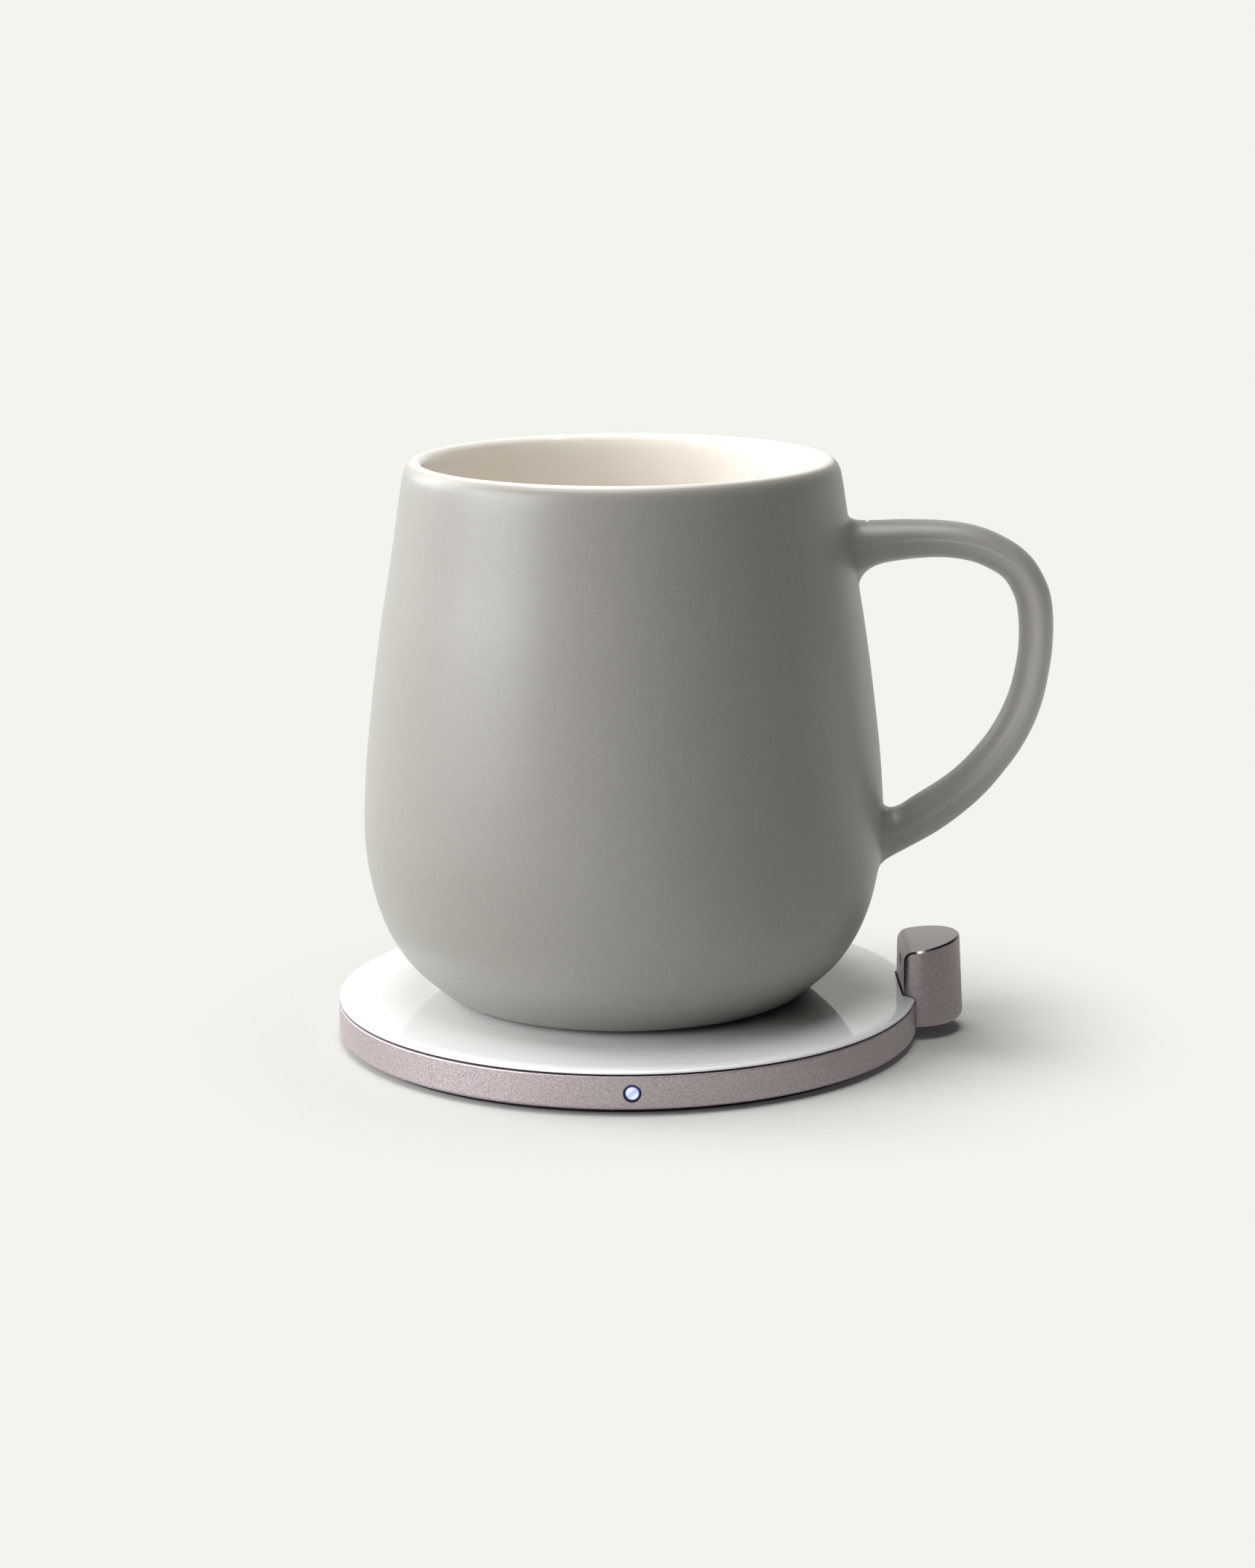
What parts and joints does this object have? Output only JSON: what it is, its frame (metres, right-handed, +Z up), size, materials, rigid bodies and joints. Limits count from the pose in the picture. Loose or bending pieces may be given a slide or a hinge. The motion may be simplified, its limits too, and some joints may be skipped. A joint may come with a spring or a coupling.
{
  "type": "self heating mug",
  "caption": "Glazed ceramic mug with a loop handle, standing on a round induction warming disc with a glass top, metal rim, status light and small sensor tower.",
  "frame": {"origin": "centre of the warming disc's underside, on the surface that it stands on", "axes": "+Z up; +X from the disc's centre through the sensor tower and the mug's handle; -Y toward the status light on the front"},
  "size_m": [0.1226, 0.1, 0.0997],
  "materials": {
    "grey_glaze": "satin grey glaze outside, glossy white glaze inside and over the lip",
    "white_glass": "polished sheet glass, white behind, with a ground edge",
    "mauve_metal": "fine bead-blasted and anodised, warm grey with a mauve cast",
    "black_plastic": "fine matt moulding",
    "black_silicone": "matt silicone",
    "white_plastic": "matt white moulding",
    "lit_lens": "small round light guide, lit pale blue",
    "green_board": "green solder resist on a fibreglass board",
    "black_epoxy": "moulded epoxy",
    "copper": "enamelled copper wire",
    "tin": "tin plate",
    "steel": "plain steel",
    "ferrite": "dark sintered ferrite",
    "tan_ceramic": "tan ceramic chip body",
    "silver_film": "thin fired silver layer",
    "amber_film": "amber polyimide flat cable",
    "pale_silicone": "pale grey silicone",
    "smoked_glass": "dark infrared window"
  },
  "bodies": {
    "warmer": {"foot_pad": "black_silicone", "base_plate": "black_plastic", "base_screw_1": "steel", "base_screw_2": "steel", "base_screw_3": "steel", "base_screw_4": "steel", "side_ring": "mauve_metal", "glass_backer": "white_plastic", "glass_adhesive": "black_silicone", "glass_top": "white_glass", "light_lens": "lit_lens", "light_bezel": "black_plastic", "light_chip": "white_plastic", "light_board": "green_board", "coil_tray": "white_plastic", "ferrite_disc": "ferrite", "induction_coil": "copper", "coil_terminal_1": "tin", "coil_terminal_2": "tin", "sensor_post": "pale_silicone", "thermistor": "black_epoxy", "sensor_ribbon": "amber_film", "main_board": "green_board", "board_screw_1": "steel", "board_screw_2": "steel", "board_screw_3": "steel", "control_chip": "black_epoxy", "driver_chip": "black_epoxy", "capacitor_1": "tan_ceramic", "capacitor_2": "tan_ceramic", "capacitor_3": "tan_ceramic", "capacitor_4": "tan_ceramic", "power_inductor": "ferrite", "ribbon_socket": "white_plastic", "tower_shell": "mauve_metal", "tower_floor": "black_plastic", "tower_screw_1": "steel", "tower_screw_2": "steel", "tower_board": "green_board", "tower_ribbon": "amber_film", "heat_sensor": "black_epoxy", "sensor_window": "smoked_glass", "inlet_shell": "tin", "inlet_tongue": "black_plastic"},
    "mug": {"mug_body": "grey_glaze", "heating_film": "silver_film", "insulation_pad": "white_plastic", "base_seal": "black_silicone", "base_cover": "pale_silicone"}
  },
  "joints": [
    {"name": "mug_lift", "type": "slide", "parent": "warmer", "child": "mug", "axis": [0, 0, 1], "range_m": [0, 0.08]}
  ]
}
